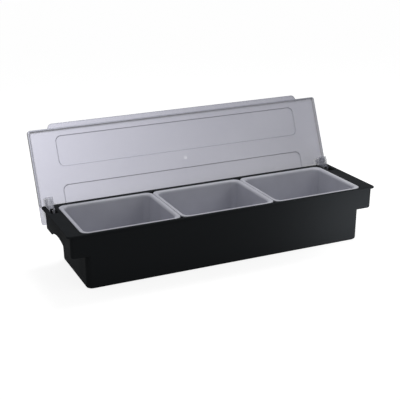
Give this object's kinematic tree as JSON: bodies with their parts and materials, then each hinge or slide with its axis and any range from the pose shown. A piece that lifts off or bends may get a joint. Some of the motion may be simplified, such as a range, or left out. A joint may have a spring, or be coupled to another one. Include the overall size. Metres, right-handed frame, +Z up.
{
  "type": "condiment caddy",
  "caption": "Low rectangular condiment tub with ear grips, lift-out food inserts side by side and a full-length clear lid that flips open on snap-in hinge arms.",
  "frame": {"origin": "middle of the flat underside of the tub, on the surface that the caddy stands on", "axes": "+X along the caddy, to the right as seen from the front; +Y from the front to the hinged back; +Z up. The lid is at rest in its open position."},
  "size_m": [0.502, 0.2076, 0.1996],
  "materials": {
    "tub": "black moulded ABS with a fine satin spark-eroded grain",
    "insert": "natural milky polypropylene, satin, slightly translucent",
    "lid": "smoke-tinted clear polycarbonate, polished, with a light haze"
  },
  "bodies": {
    "tub": {"tub": "tub"},
    "lid": {"lid": "lid"},
    "insert_left": {"insert_left": "insert"},
    "insert_middle": {"insert_middle": "insert"},
    "insert_right": {"insert_right": "insert"}
  },
  "joints": [
    {"name": "lid_hinge", "type": "hinge", "parent": "tub", "child": "lid", "pos_m": [0, 0.06227, 0.076], "axis": [-1, 0, 0], "range_deg": [-112, 0]},
    {"name": "lift_left", "type": "slide", "parent": "tub", "child": "insert_left", "axis": [0, 0, 1], "range_m": [0, 0.12]},
    {"name": "lift_middle", "type": "slide", "parent": "tub", "child": "insert_middle", "axis": [0, 0, 1], "range_m": [0, 0.12]},
    {"name": "lift_right", "type": "slide", "parent": "tub", "child": "insert_right", "axis": [0, 0, 1], "range_m": [0, 0.12]}
  ]
}
